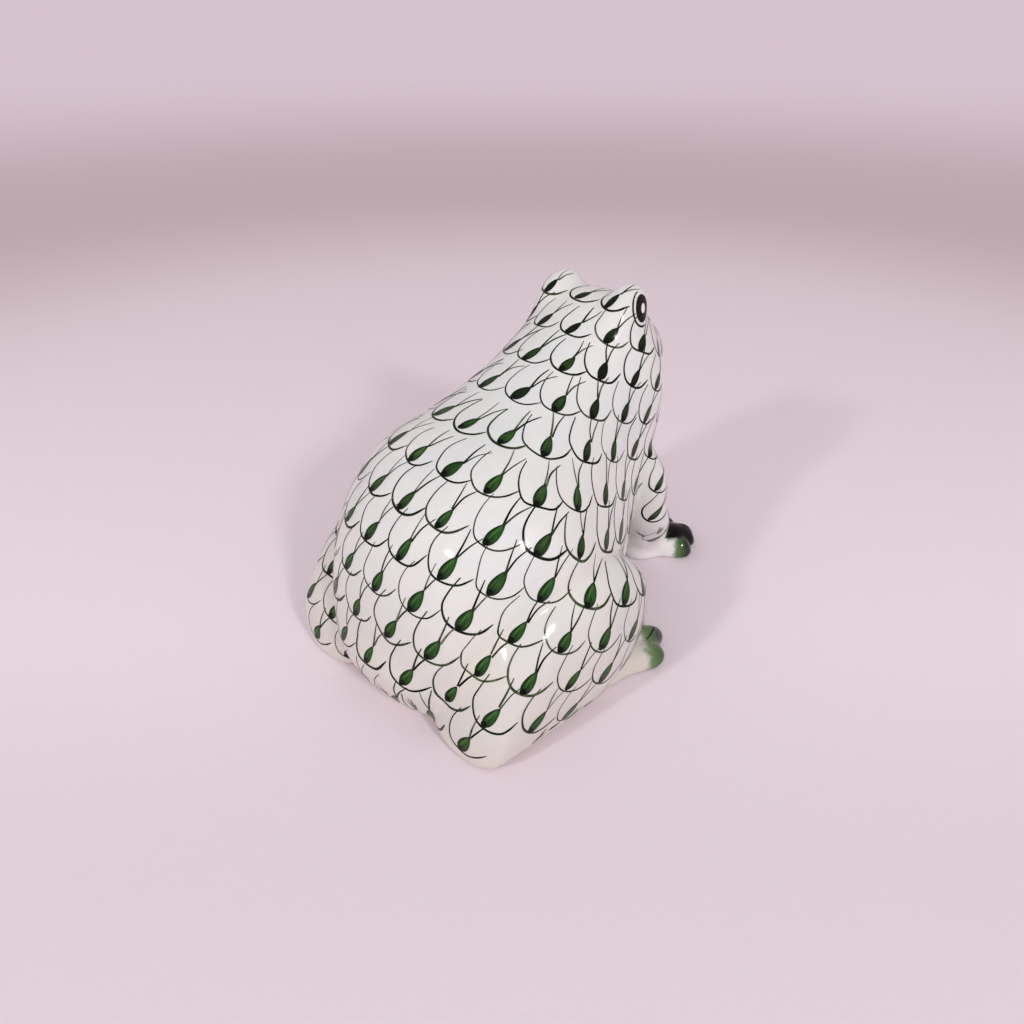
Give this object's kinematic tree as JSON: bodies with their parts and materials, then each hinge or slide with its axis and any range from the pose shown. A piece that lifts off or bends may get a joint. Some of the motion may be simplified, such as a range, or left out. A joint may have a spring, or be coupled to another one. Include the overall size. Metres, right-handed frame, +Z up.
{
  "type": "frog figurine",
  "caption": "Sitting frog in glazed porcelain: a hollow body with its head raised, folded haunches, straight forelegs and webbed feet.",
  "frame": {"origin": "on the ground plane, under the middle of the figurine's length and width", "axes": "the frog faces -Y with its right side towards -X, and +Z is up"},
  "size_m": [0.0904, 0.1266, 0.095],
  "materials": {
    "porcelain": "gloss"
  },
  "bodies": {
    "root": {"body_shell": "porcelain", "haunch_left": "porcelain", "haunch_right": "porcelain", "hind_foot_left": "porcelain", "hind_foot_right": "porcelain", "foreleg_left": "porcelain", "foreleg_right": "porcelain", "forefoot_left": "porcelain", "forefoot_right": "porcelain"}
  },
  "joints": []
}
